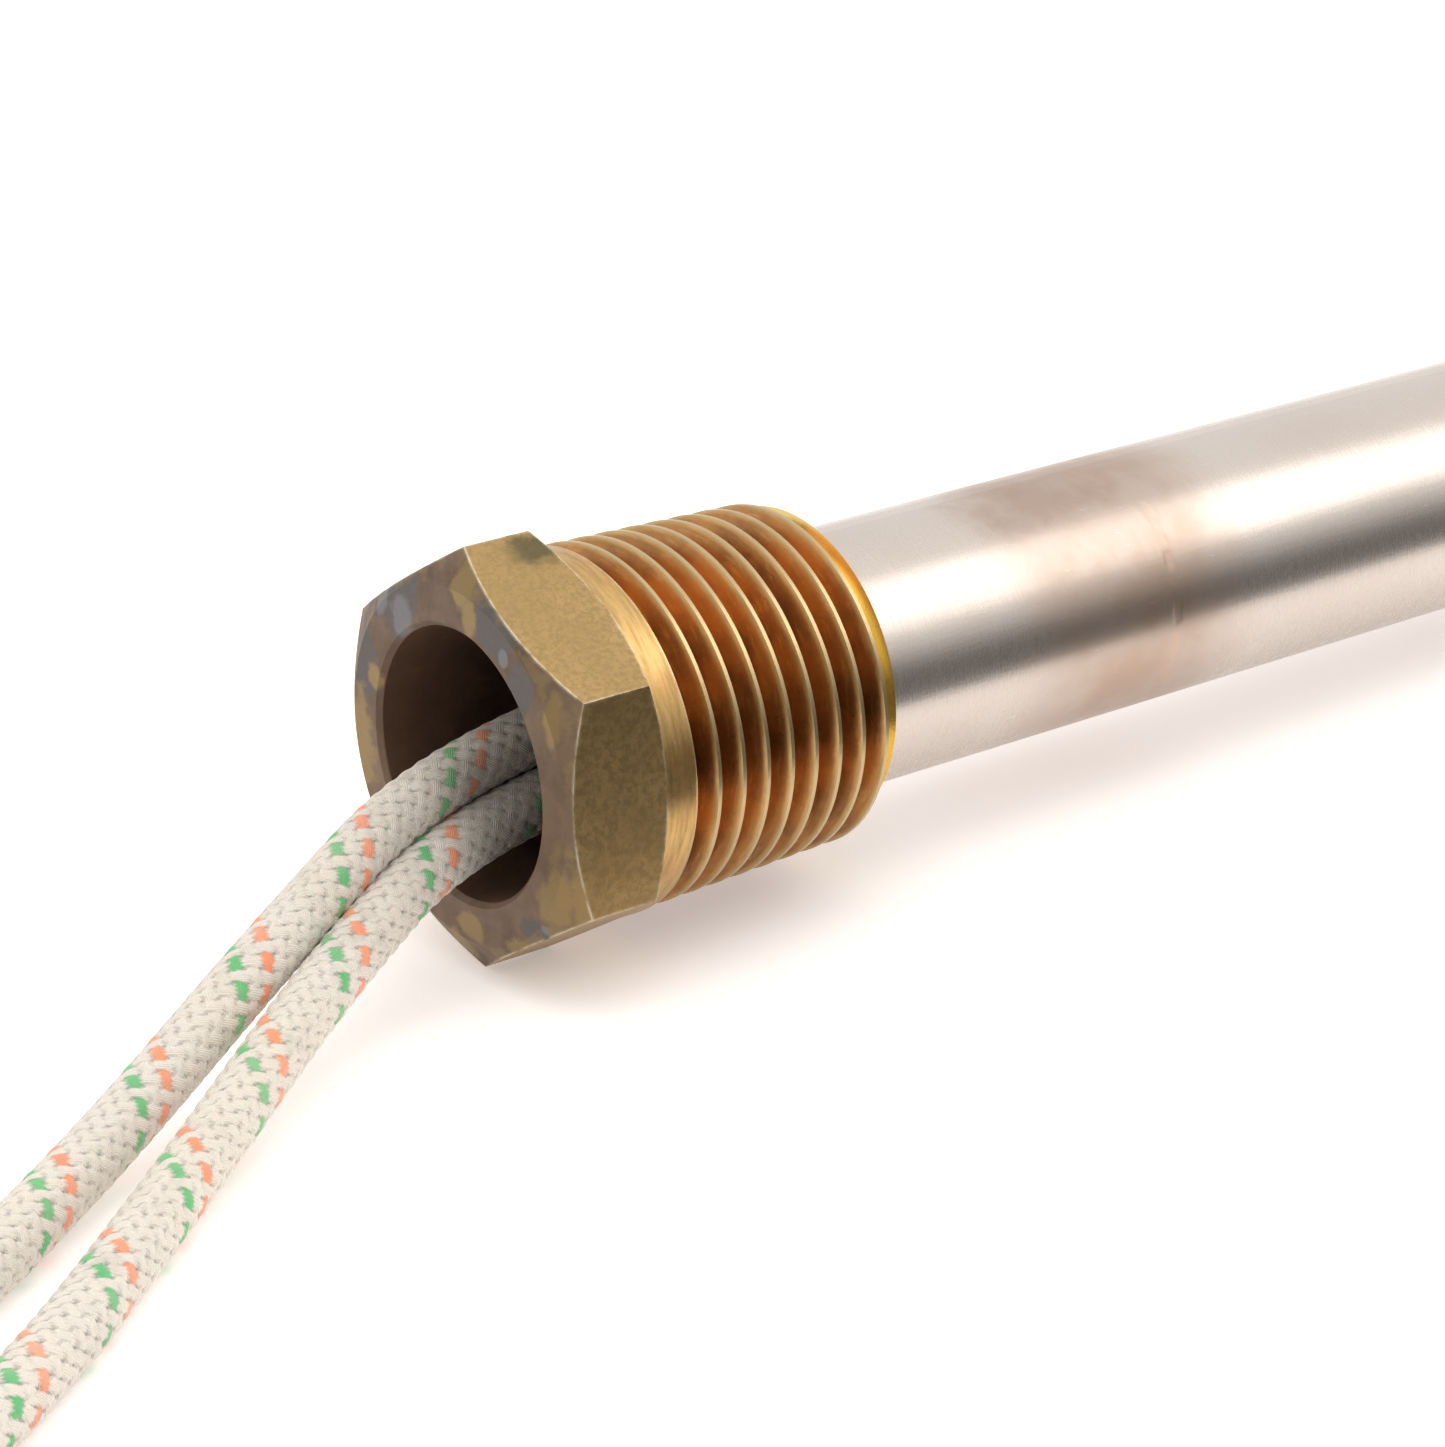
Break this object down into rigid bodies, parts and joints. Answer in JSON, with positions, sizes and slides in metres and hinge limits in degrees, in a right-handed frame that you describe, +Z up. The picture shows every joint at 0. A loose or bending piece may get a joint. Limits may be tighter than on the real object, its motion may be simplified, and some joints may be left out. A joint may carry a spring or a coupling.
{
  "type": "flame sensor probe",
  "caption": "Sheathed flame sensor probe: a hexagonal brass bushing with a tapered pipe thread carries a long closed steel sheath, with braided leads leaving the open back.",
  "frame": {"origin": "on the probe's axis where the tapered pipe thread begins, beside the neck of the bushing", "axes": "+X along the probe's axis towards its closed tip, +Z up as it lies on a table with one corner of its hexagon straight down"},
  "size_m": [0.2507, 0.0506, 0.0225],
  "materials": {
    "brass": "aged, oxidised at the open end",
    "braze": "rough",
    "steel": "drawn satin, heat tinted",
    "weld": "rough",
    "ceramic": "matt",
    "platinum": "satin",
    "magnesia": "matt powder",
    "braid": "braided glass fibre with green and orange tracers",
    "crimp": "satin",
    "sleeving": "varnished glass fibre",
    "wire": "drawn",
    "cement": "matt",
    "tie": "matt nylon",
    "ferrule": "tinned"
  },
  "bodies": {
    "root": {"bushing": "brass", "nose_braze": "braze", "inner_braze": "braze", "sheath_tube": "steel", "tip_cap": "steel", "tip_weld": "weld", "element_former": "ceramic", "element_winding": "platinum", "element_spacer": "ceramic", "tip_pad": "magnesia", "lead_inner_a": "braid", "lead_inner_b": "braid", "crimp_a": "crimp", "crimp_b": "crimp", "crimp_cover_a": "sleeving", "crimp_cover_b": "sleeving", "extension_wire_a": "wire", "extension_wire_b": "wire", "rear_cement": "cement", "lead_a": "braid", "lead_b": "braid", "lead_coil": "braid", "lead_tail_a": "braid", "lead_tail_b": "braid", "coil_tie": "tie", "end_sleeve_a": "sleeving", "end_sleeve_b": "sleeving", "end_ferrule_a": "ferrule", "end_ferrule_b": "ferrule", "insulator_bead_1": "ceramic", "insulator_bead_2": "ceramic", "insulator_bead_3": "ceramic", "insulator_bead_4": "ceramic", "insulator_bead_5": "ceramic", "insulator_bead_6": "ceramic"}
  },
  "joints": []
}
